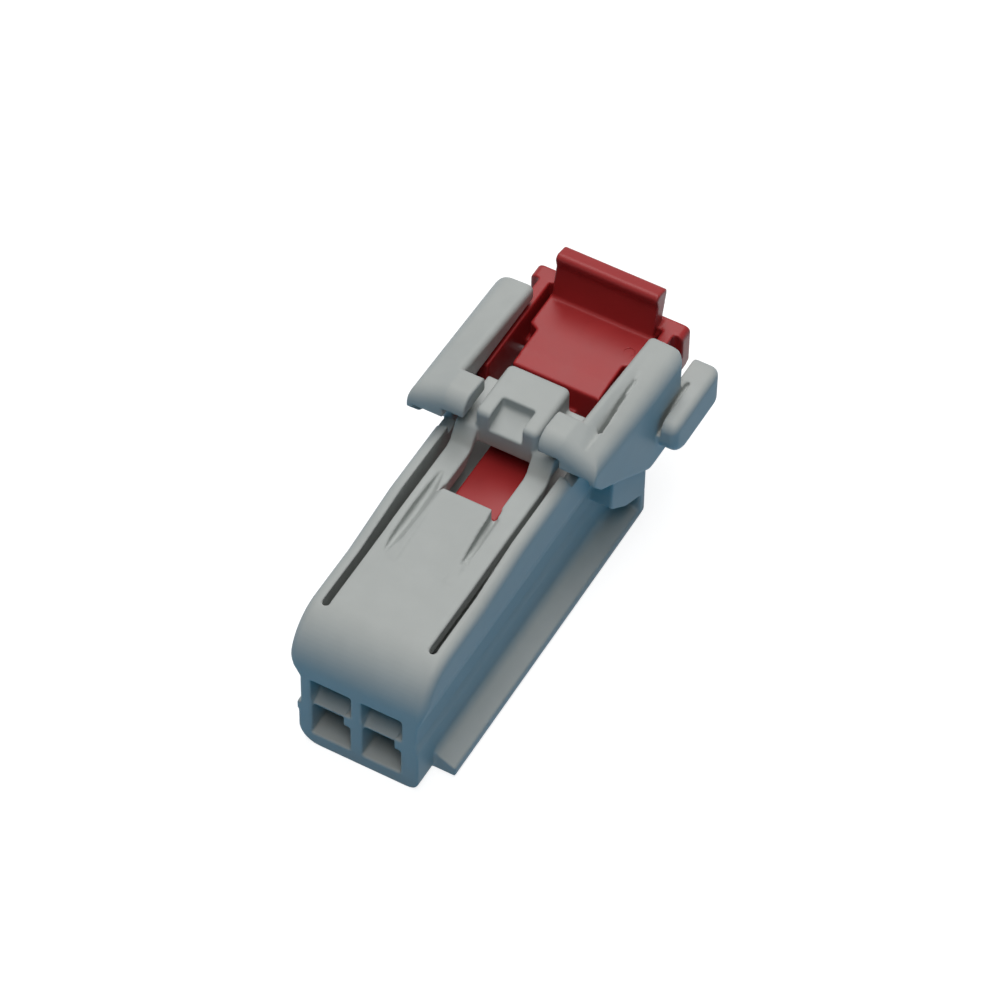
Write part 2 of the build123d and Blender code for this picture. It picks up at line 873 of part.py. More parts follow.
housing_shape = housing()
slider_shape = slider()
move = to_base_middle([housing_shape, slider_shape])
export_step(move * housing_shape, "parts/housing.step")
export_step(move * slider_shape, "parts/cpa_slider.step")
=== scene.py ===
"""Finish, moulding marks and studio for a latched plug housing with a sliding lock.

Lengths in the panels and the meshes are metres, and MM turns millimetres into metres.
The housing's small forms are drawn in millimetres from the same point as on_part: x from
the middle of the cavities, y from the mating face and z from the base.
"""

import math

import bmesh
import bpy
import numpy as np
from mathutils import Matrix, Vector


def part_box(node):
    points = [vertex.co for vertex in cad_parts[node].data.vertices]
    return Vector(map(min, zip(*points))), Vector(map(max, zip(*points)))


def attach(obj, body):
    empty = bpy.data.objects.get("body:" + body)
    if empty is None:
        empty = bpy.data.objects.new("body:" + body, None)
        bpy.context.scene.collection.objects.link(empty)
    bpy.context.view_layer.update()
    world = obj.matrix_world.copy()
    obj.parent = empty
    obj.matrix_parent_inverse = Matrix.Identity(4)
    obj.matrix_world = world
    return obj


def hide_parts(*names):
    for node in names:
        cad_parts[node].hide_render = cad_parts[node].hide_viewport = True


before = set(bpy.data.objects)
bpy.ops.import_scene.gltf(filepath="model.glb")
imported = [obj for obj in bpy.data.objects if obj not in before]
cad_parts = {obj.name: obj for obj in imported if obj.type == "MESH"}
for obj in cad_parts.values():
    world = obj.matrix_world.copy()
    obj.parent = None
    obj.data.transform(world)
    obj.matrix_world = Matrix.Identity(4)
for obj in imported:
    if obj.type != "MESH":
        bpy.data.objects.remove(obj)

bl_info = {
    "name": "Plug housing dresser",
    "version": (1, 0, 0),
    "blender": (4, 5, 0),
    "location": "3D View > Sidebar > Plug housing",
    "description": "Moulded plastic finishes, moulding marks and a small studio for a plug housing",
    "category": "Object",
}

MM = 0.001
WHITE = (1.0, 1.0, 1.0, 1.0)

# Two points closer than this, in metres, are one point of a mesh
MERGE_DISTANCE = 1e-8


# Places on the part

def low_and_high(node):
    """Lowest and highest corner of a CAD node, as arrays."""
    low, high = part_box(node)
    return np.array(low), np.array(high)


HOUSING_LOW, HOUSING_HIGH = low_and_high("housing")
WING_REACH = 9.6 * MM


def on_part(x, y, z):
    """A point given from the middle of the cavities, the mating face and the base, in metres."""
    datum = Vector((HOUSING_HIGH[0] - WING_REACH, HOUSING_LOW[1], HOUSING_LOW[2]))
    return datum + Vector((x, y, z))


# Shader maths

class Wire:
    """A socket on which sums and products add Math nodes to the same tree."""

    def __init__(self, tree, socket):
        self.tree = tree
        self.socket = socket

    def join(self, operation, first, second):
        settings = {"operation": operation}
        return self.tree.add("ShaderNodeMath", settings, {0: first, 1: second})

    def __add__(self, other):
        return self.join("ADD", self, other)

    def __radd__(self, other):
        return self.join("ADD", other, self)

    def __mul__(self, other):
        return self.join("MULTIPLY", self, other)

    def __rmul__(self, other):
        return self.join("MULTIPLY", other, self)

    def at_most(self, other):
        return self.join("MINIMUM", self, other)


class Tree:
    """A node tree that is filled through one method."""

    def __init__(self, owner):
        owner.use_nodes = True
        self.nodes = owner.node_tree.nodes
        self.links = owner.node_tree.links
        self.nodes.clear()

    def add(self, kind, settings=None, sockets=None, out=0):
        """Adds one node: its settings first, a ramp's stops among them, then values or links."""
        node = self.nodes.new(kind)
        for name, value in (settings or {}).items():
            if name == "stops":
                self.set_stops(node.color_ramp, value)
            else:
                setattr(node, name, value)
        for name, value in (sockets or {}).items():
            if isinstance(value, Wire):
                self.links.new(value.socket, node.inputs[name])
            else:
                node.inputs[name].default_value = value
        return Wire(self, node.outputs[out]) if node.outputs else node

    @staticmethod
    def set_stops(ramp, stops):
        """Gives a colour ramp its stops as (place, colour)."""
        while len(ramp.elements) < len(stops):
            ramp.elements.new(1.0)
        for element, (place, colour) in zip(ramp.elements, stops):
            element.position = place
            element.color = colour

    def object_place(self):
        """The place on the piece, in its own metres."""
        return self.add("ShaderNodeTexCoord", out="Object")

    def noise(self, place, size, detail, roughness=0.5):
        """Soft noise from 0 to 1 whose patches are about the given size."""
        sockets = {"Vector": place, "Scale": 1.0 / size, "Detail": detail, "Roughness": roughness}
        return self.add("ShaderNodeTexNoise", {}, sockets, out="Fac")

    def blend(self, factor, first, second):
        """A colour between two colours."""
        settings = {"data_type": "RGBA", "blend_type": "MIX"}
        sockets = {"Factor": factor, 6: first, 7: second}
        return self.add("ShaderNodeMix", settings, sockets, out=2)

    def ramp(self, value, stops):
        """A grey ramp over a value, with stops as (place, brightness)."""
        colours = [(place, (level, level, level, 1.0)) for place, level in stops]
        return self.add("ShaderNodeValToRGB", {"stops": colours}, {"Fac": value})

    def bump(self, strength, depth, height, normal):
        """A normal that is tilted by a height, whose full range is the given depth."""
        sockets = {"Strength": strength, "Distance": depth, "Height": height, "Normal": normal}
        return self.add("ShaderNodeBump", {}, sockets)


# Moulded plastic

# The tone is clouds and a wider flow, and the relief is grain and wider pits
CLOUD_SHARE = 0.6
FLOW_WIDTH = 4.0
GRAIN_SHARE = 0.5
PIT_WIDTH = 3.5
TONE_STOPS = ((0.3, 0.0), (0.7, 1.0))

# Clouds and pits add to a roughness that starts a little lower than the one in the panel
ROUGHNESS_DROP = 0.05
CLOUD_ROUGHNESS = 0.07
PIT_ROUGHNESS = 0.06

SINK_STRENGTH = 0.35
GRAIN_STRENGTH = 0.30
EDGE_SAMPLES = 6
PLASTIC_IOR = 1.5


def shade(colour, factor):
    """The colour, as four numbers, made brighter or darker by a factor."""
    return tuple(min(channel * factor, 1.0) for channel in colour[:3]) + (1.0,)


def moulded_plastic(name, look):
    """Satin moulded plastic: cloudy colour, spark-eroded grain, soft sinks and eased edges."""
    material = bpy.data.materials.new(name)
    tree = Tree(material)
    place = tree.object_place()
    clouds = tree.noise(place, look.cloud_size, detail=3.0)
    flow = tree.noise(place, look.cloud_size * FLOW_WIDTH, detail=1.0)
    grain = tree.noise(place, look.grain_size, detail=2.0, roughness=0.6)
    pits = tree.noise(place, look.grain_size * PIT_WIDTH, detail=3.0, roughness=0.55)
    tone = clouds * CLOUD_SHARE + flow * (1.0 - CLOUD_SHARE)
    colour = tree.blend(
        tree.ramp(tone, TONE_STOPS),
        shade(look.colour, 1.0 - look.cloudiness),
        shade(look.colour, 1.0 + look.cloudiness))
    rough = look.roughness - ROUGHNESS_DROP + CLOUD_ROUGHNESS * clouds + PIT_ROUGHNESS * pits
    relief = grain * GRAIN_SHARE + pits * (1.0 - GRAIN_SHARE)
    eased = tree.add("ShaderNodeBevel", {"samples": EDGE_SAMPLES}, {"Radius": look.edge_radius})
    waves = tree.bump(SINK_STRENGTH, look.sink_depth, flow, eased)
    texture = tree.bump(GRAIN_STRENGTH, look.grain_depth, relief, waves)
    shader = tree.add(
        "ShaderNodeBsdfPrincipled", {},
        {"Base Color": colour, "Roughness": rough, "Normal": texture, "IOR": PLASTIC_IOR,
         "Specular IOR Level": look.gloss})
    tree.add("ShaderNodeOutputMaterial", {}, {"Surface": shader})
    return material


# Objects and surfaces

def linked(name, data):
    """A new object in the scene."""
    thing = bpy.data.objects.new(name, data)
    bpy.context.scene.collection.objects.link(thing)
    return thing


def make_smooth(mesh):
    """Shades all faces of a mesh as one smooth surface."""
    mesh.polygons.foreach_set("use_smooth", np.ones(len(mesh.polygons), dtype=bool))


def grid_faces(rows, columns, closed):
    """Four-cornered faces of a grid of points, joined round its columns where it is closed."""
    across = columns if closed else columns - 1
    row, column = np.meshgrid(np.arange(rows - 1), np.arange(across), indexing="ij")
    after = (column + 1) % columns
    corners = (row * columns + column, row * columns + after,
               (row + 1) * columns + after, (row + 1) * columns + column)
    return np.stack(corners, axis=-1).reshape(-1, 4)


def add_surface(name, points, material):
    """A smooth object at the origin whose mesh is an open grid of points."""
    rows, columns = points.shape[:2]
    faces = grid_faces(rows, columns, False)
    mesh = bpy.data.meshes.new(name)
    mesh.from_pydata(points.reshape(-1, 3).tolist(), [], faces.tolist())
    make_smooth(mesh)
    mesh.materials.append(material)
    mesh.update()
    return linked(name, mesh)


def tidy_mesh(mesh):
    """Merges doubled points and turns all faces outwards."""
    shape = bmesh.new()
    shape.from_mesh(mesh)
    bmesh.ops.remove_doubles(shape, verts=shape.verts, dist=MERGE_DISTANCE)
    bmesh.ops.recalc_face_normals(shape, faces=shape.faces)
    shape.to_mesh(mesh)
    shape.free()


def closed_bar(name, points):
    """A closed solid object from a bar's rows of points, with both ends capped."""
    rows, columns = points.shape[:2]
    faces = grid_faces(rows, columns, True).tolist()
    faces.append(list(range(columns)))
    faces.append(list(range((rows - 1) * columns, rows * columns)))
    mesh = bpy.data.meshes.new(name)
    mesh.from_pydata(points.reshape(-1, 3).tolist(), [], faces)
    tidy_mesh(mesh)
    return linked(name, mesh)


# Softened skins of the CAD nodes

def change_by_bar(piece, name, operation, points):
    """Joins a bar to a piece with UNION, or cuts it away with DIFFERENCE, and returns it."""
    bar = closed_bar(name, points)
    change = piece.modifiers.new(name, "BOOLEAN")
    change.operation = operation
    change.solver = "EXACT"
    change.object = bar
    return bar


def soften(piece, sizes, share):
    """Turns a piece into one fine even skin, rounds its edges a little and thins the skin out."""
    skin = piece.modifiers.new("skin", "REMESH")
    skin.mode = "VOXEL"
    skin.voxel_size = sizes.step
    skin.use_smooth_shade = True
    ease = piece.modifiers.new("ease", "SMOOTH")
    ease.factor = sizes.ease
    ease.iterations = sizes.passes
    thin = piece.modifiers.new("thin", "DECIMATE")
    thin.ratio = share


def reshaped(node, name, steps, sizes, share, material):
    """A softened copy of a CAD node, with bars added or cut away one after the other."""
    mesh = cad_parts[node].data.copy()
    mesh.name = name
    tidy_mesh(mesh)
    piece = linked(name, mesh)
    bars = [
        change_by_bar(piece, f"{name}_bar_{number}", operation, points)
        for number, (operation, points) in enumerate(steps)]
    soften(piece, sizes, share)
    depsgraph = bpy.context.evaluated_depsgraph_get()
    piece.data = bpy.data.meshes.new_from_object(piece.evaluated_get(depsgraph))
    piece.modifiers.clear()
    for bar in bars:
        bpy.data.objects.remove(bar)
    make_smooth(piece.data)
    piece.data.materials.clear()
    piece.data.materials.append(material)
    return piece


# Small forms of the housing, in millimetres

# Top of the strips beside the plateau, and a height inside the latch arm under them
STRIP_TOP = 12.5
ARM_INSIDE = 11.5

# A groove's bar stands this far above the strips, and its floor is level for this share
GROOVE_HEADROOM = 0.5
LEVEL_SHARE = 0.35

# The two cavities lie on both sides of the middle
CAVITY_OFFSET = 2.1


def carried_profile(places, corners):
    """A bar along the part, given by the corners of its section at each place.

    A place is a y. A corner is an x and a z, and each of them is one number or a row
    with one number for each place. Between two places the section changes evenly: a
    point is first + (last - first) * u.
    """
    rows = [np.broadcast_to(value, len(places)) for corner in corners for value in corner]
    section = np.stack(rows, axis=-1).reshape(len(places), len(corners), 2)
    along = np.broadcast_to(np.array(places)[:, None], section.shape[:2])
    points = np.stack((section[..., 0], along, section[..., 1]), axis=-1)
    return points * MM + np.array(on_part(0.0, 0.0, 0.0))


def plateau_flank():
    """Fills the left side of the plateau so that it blends into the strip beside it.

    The section's top is a straight line from its outer edge up to the plateau.
    """
    outer = (-3.0, -2.9, -2.62)
    inner = (-2.0, -2.0, -2.02)
    outer_top = (12.36, 12.46, 12.52)
    inner_top = (12.42, 12.9, 13.17)
    foot = (ARM_INSIDE, ARM_INSIDE, 11.9)
    return carried_profile(
        places=(9.2, 13.0, 16.15),
        corners=((outer, outer_top), (inner, inner_top), (inner, foot), (outer, foot)))


def groove_front_fill():
    """Closes the front of the plateau's right groove, so that the groove starts later.

    The section's top is a straight line from the plateau down to its outer edge.
    """
    inner = (2.0, 2.25)
    outer = (3.0, 2.95)
    inner_top = (12.42, 12.55)
    outer_top = (12.36, 12.40)
    return carried_profile(
        places=(9.2, 11.0),
        corners=((inner, inner_top), (outer, outer_top), (outer, ARM_INSIDE), (inner, ARM_INSIDE)))


def wedge_groove(places, walls, widths, depths):
    """A groove with an upright wall on its left and a floor that rises to the right.

    The floor is level for a share of the width, and then rises in a straight line to the
    top of the strip, a full width from the wall.
    """
    left = np.array(walls)
    right = left + np.array(widths)
    level_end = left + LEVEL_SHARE * np.array(widths)
    floor = STRIP_TOP - np.array(depths)
    above = STRIP_TOP + GROOVE_HEADROOM
    return carried_profile(
        places,
        ((left, above), (left, floor), (level_end, floor), (right, STRIP_TOP), (right, above)))


def left_groove():
    """Cuts the wide groove on the left of the plateau, deepest near its middle."""
    return wedge_groove(
        places=(9.2, 11.0, 14.0, 16.4, 18.1),
        walls=(-3.12, -3.42, -3.5, -3.44, -3.3),
        widths=(0.3, 0.85, 1.05, 0.85, 0.3),
        depths=(0.1, 0.6, 0.85, 0.7, 0.1))


def right_groove():
    """Cuts the groove on the right of the plateau, which grows towards the rear."""
    return wedge_groove(
        places=(11.0, 13.0, 16.2),
        walls=(2.30, 2.18, 2.04),
        widths=(0.25, 0.6, 0.7),
        depths=(0.1, 0.45, 0.55))


def crease_line():
    """Deepens the foot of the right guard arm's crease along its steep wall.

    The section runs from its lip in a straight slope down to the floor, across it, and
    up the wall.
    """
    lip = (6.11, 5.90, 5.82, 5.88)
    lip_height = (16.45, 16.45, 16.35, 16.2)
    foot = (6.42, 6.20, 6.08, 6.0)
    wall = (6.58, 6.36, 6.25, 6.12)
    floor = (14.85, 15.0, 15.3, 15.7)
    wall_top = (16.9, 16.9, 16.7, 16.6)
    return carried_profile(
        places=(24.15, 27.5, 29.3, 31.3),
        corners=((lip, lip_height), (foot, floor), (wall, floor), (wall, wall_top)))


def wing_valley():
    """Fills the deep part of the gap between the wing and the right guard arm.

    The fill's top rises towards the rear, and is a straight line across.
    """
    left, right = 7.85, 8.4
    bottom = 9.6
    left_top = (10.45, 11.3, 11.3)
    right_top = (10.45, 11.2, 11.2)
    return carried_profile(
        places=(31.4, 33.4, 35.1),
        corners=((left, bottom), (right, bottom), (right, right_top), (left, left_top)))


def ledge_slope():
    """Eases the small step low along the right side with an even slope over it."""
    inside, face, slope_end = 4.8, 5.14, 4.94
    bottom, bend, top = 4.3, 4.5, 5.5
    return carried_profile(
        places=(0.02, 30.9),
        corners=((inside, bottom), (face, bottom), (face, bend), (slope_end, top), (inside, top)))


def lance_slope(middle):
    """Cuts the nose of the lance in one cavity down to a thin front edge.

    All above a floor is cut away, and the floor rises evenly to the rear.
    """
    left = middle - 1.6
    right = middle + 1.15
    floor = (4.45, 5.4)
    above = 6.5
    return carried_profile(
        places=(0.25, 2.0),
        corners=((left, floor), (left, above), (right, above), (right, floor)))


def housing_steps():
    """The bars that are added to the housing or cut away from it, in their order."""
    return (
        ("UNION", plateau_flank()),
        ("UNION", groove_front_fill()),
        ("DIFFERENCE", left_groove()),
        ("DIFFERENCE", right_groove()),
        ("DIFFERENCE", crease_line()),
        ("UNION", wing_valley()),
        ("UNION", ledge_slope()),
        ("DIFFERENCE", lance_slope(-CAVITY_OFFSET)),
        ("DIFFERENCE", lance_slope(CAVITY_OFFSET)),
    )


# Ejector ring on the slider's floor

RING_CENTRE = on_part(3.43 * MM, 34.42 * MM, 13.1 * MM)
RING_START = math.radians(-60.0)
RING_TURN = math.radians(270.0)
RING_POINTS_ALONG = 49
RING_POINTS_OVER = 13

# Share of the ridge's height that lies below the slider's floor
RING_SUNK_SHARE = 0.15


def ring_points(radius, width, height):
    """A low rounded ridge that runs along part of a circle.

    With u along the ridge and v across it, the distance from the centre is the radius
    plus half the width times cos v, and the height is the ridge's height times sin v,
    less the share that lies below the floor. Width and height both shrink to nothing at
    the two ends of the ridge by the square root of sin u.
    """
    along = np.linspace(0.0, math.pi, RING_POINTS_ALONG)[:, None]
    over = np.linspace(math.pi, 0.0, RING_POINTS_OVER)[None, :]
    taper = np.sqrt(np.clip(np.sin(along), 0.0, 1.0))
    angle = RING_START + RING_TURN * along / math.pi
    reach = radius + 0.5 * width * taper * np.cos(over)
    x = RING_CENTRE.x + reach * np.cos(angle)
    y = RING_CENTRE.y + reach * np.sin(angle)
    z = RING_CENTRE.z + height * taper * np.sin(over) - RING_SUNK_SHARE * height
    return np.stack(np.broadcast_arrays(x, y, z), axis=-1)


# Settings

class SkinSizes(bpy.types.PropertyGroup):
    """How fine and how soft the skins of the housing and the slider are."""
    step: bpy.props.FloatProperty(
        name="Skin step", description="Distance between the points of the even skin",
        default=0.09 * MM, min=0.00001, unit="LENGTH", precision=6)
    ease: bpy.props.FloatProperty(
        name="Ease", description="How far one pass moves a point towards its neighbours",
        default=0.5, min=0.0, max=1.0, subtype="FACTOR")
    passes: bpy.props.IntProperty(
        name="Passes", description="Number of passes that round the edges", default=6, min=0,
        max=30)
    housing_share: bpy.props.FloatProperty(
        name="Housing share", description="Share of its faces that the housing's skin keeps",
        default=0.16, min=0.01, max=1.0, subtype="FACTOR")
    slider_share: bpy.props.FloatProperty(
        name="Slider share", description="Share of its faces that the slider's skin keeps",
        default=0.4, min=0.01, max=1.0, subtype="FACTOR")


class GreyPlasticLook(bpy.types.PropertyGroup):
    """How the light grey housing looks."""
    colour: bpy.props.FloatVectorProperty(
        name="Colour", description="Base colour of the housing", subtype="COLOR", size=3,
        default=(0.455, 0.475, 0.462), min=0.0, max=1.0)
    cloudiness: bpy.props.FloatProperty(
        name="Cloudiness", description="How much the colour varies, as a share",
        default=0.035, min=0.0, max=0.5, subtype="FACTOR")
    cloud_size: bpy.props.FloatProperty(
        name="Cloud size", description="Size of the patches of lighter and darker grey",
        default=1.6 * MM, min=0.0001, unit="LENGTH", precision=5)
    roughness: bpy.props.FloatProperty(
        name="Roughness", description="Roughness of the satin surface",
        default=0.44, min=0.0, max=1.0, subtype="FACTOR")
    gloss: bpy.props.FloatProperty(
        name="Gloss", description="Strength of the mirror-like part of the finish",
        default=0.12, min=0.0, max=1.0, subtype="FACTOR")
    grain_size: bpy.props.FloatProperty(
        name="Grain size", description="Size of the fine grain left by the mould",
        default=0.07 * MM, min=0.00001, unit="LENGTH", precision=6)
    grain_depth: bpy.props.FloatProperty(
        name="Grain depth", description="Depth of the fine grain",
        default=0.012 * MM, min=0.0, unit="LENGTH", precision=6)
    sink_depth: bpy.props.FloatProperty(
        name="Sink depth", description="Depth of the soft sinks over thick walls",
        default=0.25 * MM, min=0.0, unit="LENGTH", precision=6)
    edge_radius: bpy.props.FloatProperty(
        name="Edge radius", description="Radius by which shading eases sharp edges",
        default=0.16 * MM, min=0.0, unit="LENGTH", precision=6)


class RedPlasticLook(bpy.types.PropertyGroup):
    """How the red slider looks."""
    colour: bpy.props.FloatVectorProperty(
        name="Colour", description="Base colour of the slider", subtype="COLOR", size=3,
        default=(0.34, 0.022, 0.023), min=0.0, max=1.0)
    cloudiness: bpy.props.FloatProperty(
        name="Cloudiness", description="How much the colour varies, as a share",
        default=0.06, min=0.0, max=0.5, subtype="FACTOR")
    cloud_size: bpy.props.FloatProperty(
        name="Cloud size", description="Size of the patches of lighter and darker red",
        default=1.9 * MM, min=0.0001, unit="LENGTH", precision=5)
    roughness: bpy.props.FloatProperty(
        name="Roughness", description="Roughness of the satin surface",
        default=0.35, min=0.0, max=1.0, subtype="FACTOR")
    gloss: bpy.props.FloatProperty(
        name="Gloss", description="Strength of the mirror-like part of the finish",
        default=0.26, min=0.0, max=1.0, subtype="FACTOR")
    grain_size: bpy.props.FloatProperty(
        name="Grain size", description="Size of the fine grain left by the mould",
        default=0.06 * MM, min=0.00001, unit="LENGTH", precision=6)
    grain_depth: bpy.props.FloatProperty(
        name="Grain depth", description="Depth of the fine grain",
        default=0.010 * MM, min=0.0, unit="LENGTH", precision=6)
    sink_depth: bpy.props.FloatProperty(
        name="Sink depth", description="Depth of the soft sinks over thick walls",
        default=0.20 * MM, min=0.0, unit="LENGTH", precision=6)
    edge_radius: bpy.props.FloatProperty(
        name="Edge radius", description="Radius by which shading eases sharp edges",
        default=0.12 * MM, min=0.0, unit="LENGTH", precision=6)


class MarkSizes(bpy.types.PropertyGroup):
    """Sizes of the marks that the mould leaves."""
    ring_radius: bpy.props.FloatProperty(
        name="Ring radius", description="Radius of the ejector pin's ring on the slider",
        default=0.40 * MM, min=0.0001, unit="LENGTH", precision=6)
    ring_width: bpy.props.FloatProperty(
        name="Ring width", description="Width of the ring's ridge",
        default=0.11 * MM, min=0.00001, unit="LENGTH", precision=6)
    ring_height: bpy.props.FloatProperty(
        name="Ring height", description="Height of the ring's ridge",
        default=0.09 * MM, min=0.00001, unit="LENGTH", precision=6)


class StudioLook(bpy.types.PropertyGroup):
    """Light, floor and camera of the studio."""
    key_colour: bpy.props.FloatVectorProperty(
        name="Overhead colour", description="Colour of the overhead softbox", subtype="COLOR",
        size=3, default=(1.0, 0.99, 0.99), min=0.0, max=1.0)
    key_level: bpy.props.FloatProperty(
        name="Overhead level", description="Brightness of a white level surface under the softbox",
        default=1.25, min=0.0, max=4.0)
    key_width: bpy.props.FloatProperty(
        name="Overhead width", description="Width of the overhead softbox",
        default=0.3, min=0.01, unit="LENGTH")
    key_length: bpy.props.FloatProperty(
        name="Overhead length", description="Length of the overhead softbox, along the part",
        default=1.2, min=0.01, unit="LENGTH")
    key_place: bpy.props.FloatVectorProperty(
        name="Overhead place", description="Where the softbox hangs, from the middle of the base",
        subtype="TRANSLATION", size=3, default=(-0.03, 0.06, 0.65))
    floor_tint: bpy.props.FloatVectorProperty(
        name="Bounce colour", description="Colour in which the floor throws light back",
        subtype="COLOR", size=3, default=(0.0, 0.33, 0.64), min=0.0, max=1.0)
    room_colour: bpy.props.FloatVectorProperty(
        name="Room colour", description="Colour of the weak light from all round",
        subtype="COLOR", size=3, default=(0.005, 0.02, 0.02), min=0.0, max=1.0)
    floor_glow: bpy.props.FloatProperty(
        name="Floor glow", description="How white the floor stays in full shadow",
        default=0.85, min=0.0, max=1.0)
    floor_size: bpy.props.FloatProperty(
        name="Floor size", description="Side of the square floor", default=3.0, min=0.1,
        unit="LENGTH")
    azimuth: bpy.props.FloatProperty(
        name="Azimuth", description="Turn of the camera round the part",
        default=math.radians(28.578), subtype="ANGLE")
    elevation: bpy.props.FloatProperty(
        name="Elevation", description="Height of the camera above the horizon",
        default=math.radians(50.572), subtype="ANGLE")
    roll: bpy.props.FloatProperty(
        name="Roll", description="Tilt of the picture", default=math.radians(1.022),
        subtype="ANGLE")
    distance: bpy.props.FloatProperty(
        name="Distance", description="Distance of the camera from the part",
        default=378.8 * MM, min=0.05, unit="LENGTH")
    aim_right: bpy.props.FloatProperty(
        name="Aim to the right", description="Sideways shift of the camera in its own plane",
        default=10.431 * MM, unit="LENGTH", precision=6)
    aim_up: bpy.props.FloatProperty(
        name="Aim upwards", description="Upward shift of the camera in its own plane",
        default=19.099 * MM, unit="LENGTH", precision=6)
    lens: bpy.props.FloatProperty(
        name="Lens", description="Focal length in millimetres on a 36 mm sensor",
        default=188.14, min=10.0)


# Pieces of the part

class DressHousing(bpy.types.Operator):
    """Refine the housing's small forms and give it its light grey satin plastic"""
    bl_idname = "plug_housing.dress_housing"
    bl_label = "Dress the housing"

    def execute(self, context):
        sizes = context.scene.skin_sizes
        material = moulded_plastic("light_grey_plastic", context.scene.grey_plastic_look)
        piece = reshaped(
            "housing", "housing_skin", housing_steps(), sizes, sizes.housing_share, material)
        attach(piece, "housing")
        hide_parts("housing")
        return {"FINISHED"}


class DressSlider(bpy.types.Operator):
    """Give the slider its red satin plastic"""
    bl_idname = "plug_housing.dress_slider"
    bl_label = "Dress the slider"

    def execute(self, context):
        sizes = context.scene.skin_sizes
        material = moulded_plastic("red_plastic", context.scene.red_plastic_look)
        piece = reshaped("cpa_slider", "slider_skin", (), sizes, sizes.slider_share, material)
        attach(piece, "slider")
        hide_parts("cpa_slider")
        return {"FINISHED"}


class AddEjectorRing(bpy.types.Operator):
    """Add the ring that an ejector pin left on the slider's floor"""
    bl_idname = "plug_housing.add_ejector_ring"
    bl_label = "Add the ejector ring"

    def execute(self, context):
        sizes = context.scene.mark_sizes
        material = bpy.data.objects["slider_skin"].data.materials[0]
        points = ring_points(sizes.ring_radius, sizes.ring_width, sizes.ring_height)
        piece = add_surface("ejector_ring", points, material)
        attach(piece, "slider")
        return {"FINISHED"}


# Studio

# The floor's own colour and its glow add up to this, so that it looks white in full light
FULL_WHITE = 1.2
FLOOR_LINES = 5

# The sensor's width is in millimetres, and what the camera sees starts and ends in metres
SENSOR_WIDTH = 36.0
VIEW_START = 0.01
VIEW_END = 20.0


def seen_directly(tree):
    """1 for rays from the camera, mirrors and clear pieces, 0 for light that bounces softly."""
    camera = tree.add("ShaderNodeLightPath", out="Is Camera Ray")
    glossy = tree.add("ShaderNodeLightPath", out="Is Glossy Ray")
    passed = tree.add("ShaderNodeLightPath", out="Is Transmission Ray")
    return (camera + glossy + passed).at_most(1.0)


def floor_material(look):
    """Pale floor that looks white with a faint shadow, and throws tinted light back."""
    material = bpy.data.materials.new("pale_floor")
    tree = Tree(material)
    pale = (FULL_WHITE - look.floor_glow,) * 3 + (1.0,)
    shadowed = tree.add("ShaderNodeBsdfDiffuse", {}, {"Color": pale})
    glow = tree.add("ShaderNodeEmission", {}, {"Color": WHITE, "Strength": look.floor_glow})
    white = tree.add("ShaderNodeAddShader", {}, {0: shadowed, 1: glow})
    bounced = tree.add("ShaderNodeBsdfDiffuse", {}, {"Color": shade(look.floor_tint, 1.0)})
    mixed = tree.add("ShaderNodeMixShader", {}, {0: seen_directly(tree), 1: bounced, 2: white})
    tree.add("ShaderNodeOutputMaterial", {}, {"Surface": mixed})
    return material


def add_floor(look):
    """A flat square floor under the part: x and y run over the square, z is the base."""
    half = 0.5 * look.floor_size
    line = np.linspace(-half, half, FLOOR_LINES)
    x, y = np.meshgrid(line, line, indexing="xy")
    points = np.stack((x, y, np.full_like(x, HOUSING_LOW[2])), axis=-1)
    floor = add_surface("floor", points, floor_material(look))


def add_softbox(look):
    """Long overhead lamp whose power gives the wanted level on a level surface."""
    place = Vector(look.key_place)
    data = bpy.data.lights.new("overhead_softbox", "AREA")
    data.shape = "RECTANGLE"
    data.size = look.key_width
    data.size_y = look.key_length
    data.color = look.key_colour
    upright = place.z / place.length
    data.energy = look.key_level * math.pi * math.pi * place.length_squared / upright
    lamp = linked("overhead_softbox", data)
    lamp.location = place
    lamp.rotation_mode = "QUATERNION"
    lamp.rotation_quaternion = place.to_track_quat("Z", "Y")


def set_surroundings(look):
    """White where it is seen directly, and weak coloured light from all round."""
    world = bpy.data.worlds.new("surroundings")
    tree = Tree(world)
    room = shade(look.room_colour, 1.0)
    soft = tree.add("ShaderNodeBackground", {}, {"Color": room, "Strength": 1.0})
    white = tree.add("ShaderNodeBackground", {}, {"Color": WHITE, "Strength": 1.0})
    mixed = tree.add("ShaderNodeMixShader", {}, {0: seen_directly(tree), 1: soft, 2: white})
    tree.add("ShaderNodeOutputWorld", {}, {"Surface": mixed})
    bpy.context.scene.world = world


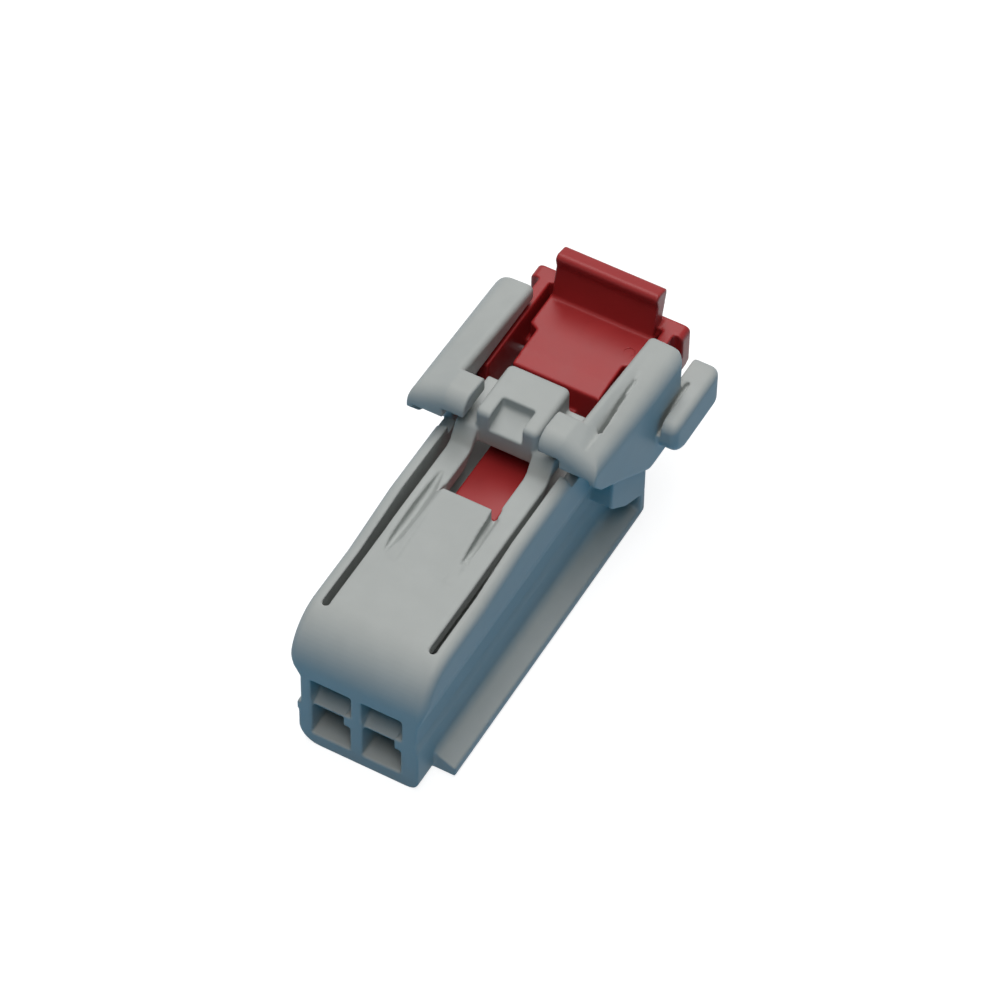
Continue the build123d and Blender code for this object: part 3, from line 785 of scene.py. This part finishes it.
def add_camera(look):
    """Camera at a given turn, height and roll, shifted in its own plane to aim at the part."""
    turn, rise = look.azimuth, look.elevation
    level = Vector((math.cos(turn), math.sin(turn), 0.0))
    back = Vector((
        math.sin(turn) * math.cos(rise), -math.cos(turn) * math.cos(rise), math.sin(rise)))
    upward = back.cross(level)
    right = level * math.cos(look.roll) + upward * math.sin(look.roll)
    upward = back.cross(right)
    data = bpy.data.cameras.new("camera")
    data.sensor_width = SENSOR_WIDTH
    data.lens = look.lens
    data.clip_start = VIEW_START
    data.clip_end = VIEW_END
    place = (
        on_part(0.0, 0.0, 0.0) + right * look.aim_right + upward * look.aim_up
        + back * look.distance)
    turned = Matrix((right, upward, back)).transposed().to_4x4()
    camera = linked("camera", data)
    camera.matrix_world = Matrix.Translation(place) @ turned
    bpy.context.scene.camera = camera


class BuildStudio(bpy.types.Operator):
    """Build the floor, the overhead softbox, the surroundings and the camera"""
    bl_idname = "plug_housing.build_studio"
    bl_label = "Build the studio"

    def execute(self, context):
        look = context.scene.studio_look
        add_floor(look)
        add_softbox(look)
        set_surroundings(look)
        add_camera(look)
        context.scene.view_settings.view_transform = "Standard"
        return {"FINISHED"}


# Panel and registration

class PlugHousingPanel(bpy.types.Panel):
    """Lists the settings and the steps"""
    bl_idname = "VIEW3D_PT_plug_housing"
    bl_label = "Plug housing"
    bl_space_type = "VIEW_3D"
    bl_region_type = "UI"
    bl_category = "Plug housing"

    def draw(self, context):
        layout = self.layout
        for settings, steps in PANEL_ROWS:
            box = layout.box()
            look = getattr(context.scene, settings)
            for name in look.bl_rna.properties.keys():
                if name not in ("rna_type", "name"):
                    box.prop(look, name)
            for step in steps:
                box.operator(step.bl_idname)


PANEL_ROWS = (
    ("skin_sizes", ()),
    ("grey_plastic_look", (DressHousing,)),
    ("red_plastic_look", (DressSlider,)),
    ("mark_sizes", (AddEjectorRing,)),
    ("studio_look", (BuildStudio,)),
)
SETTINGS = {
    "skin_sizes": SkinSizes,
    "grey_plastic_look": GreyPlasticLook,
    "red_plastic_look": RedPlasticLook,
    "mark_sizes": MarkSizes,
    "studio_look": StudioLook,
}
CLASSES = (*SETTINGS.values(), DressHousing, DressSlider, AddEjectorRing, BuildStudio,
           PlugHousingPanel)


def register():
    for cls in CLASSES:
        bpy.utils.register_class(cls)
    for name, group in SETTINGS.items():
        setattr(bpy.types.Scene, name, bpy.props.PointerProperty(type=group))


def unregister():
    for name in SETTINGS:
        delattr(bpy.types.Scene, name)
    for cls in reversed(CLASSES):
        bpy.utils.unregister_class(cls)


def main():
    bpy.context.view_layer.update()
    register()
    bpy.ops.plug_housing.dress_housing()
    bpy.ops.plug_housing.dress_slider()
    bpy.ops.plug_housing.add_ejector_ring()
    bpy.ops.plug_housing.build_studio()


if __name__ == "__main__":
    main()
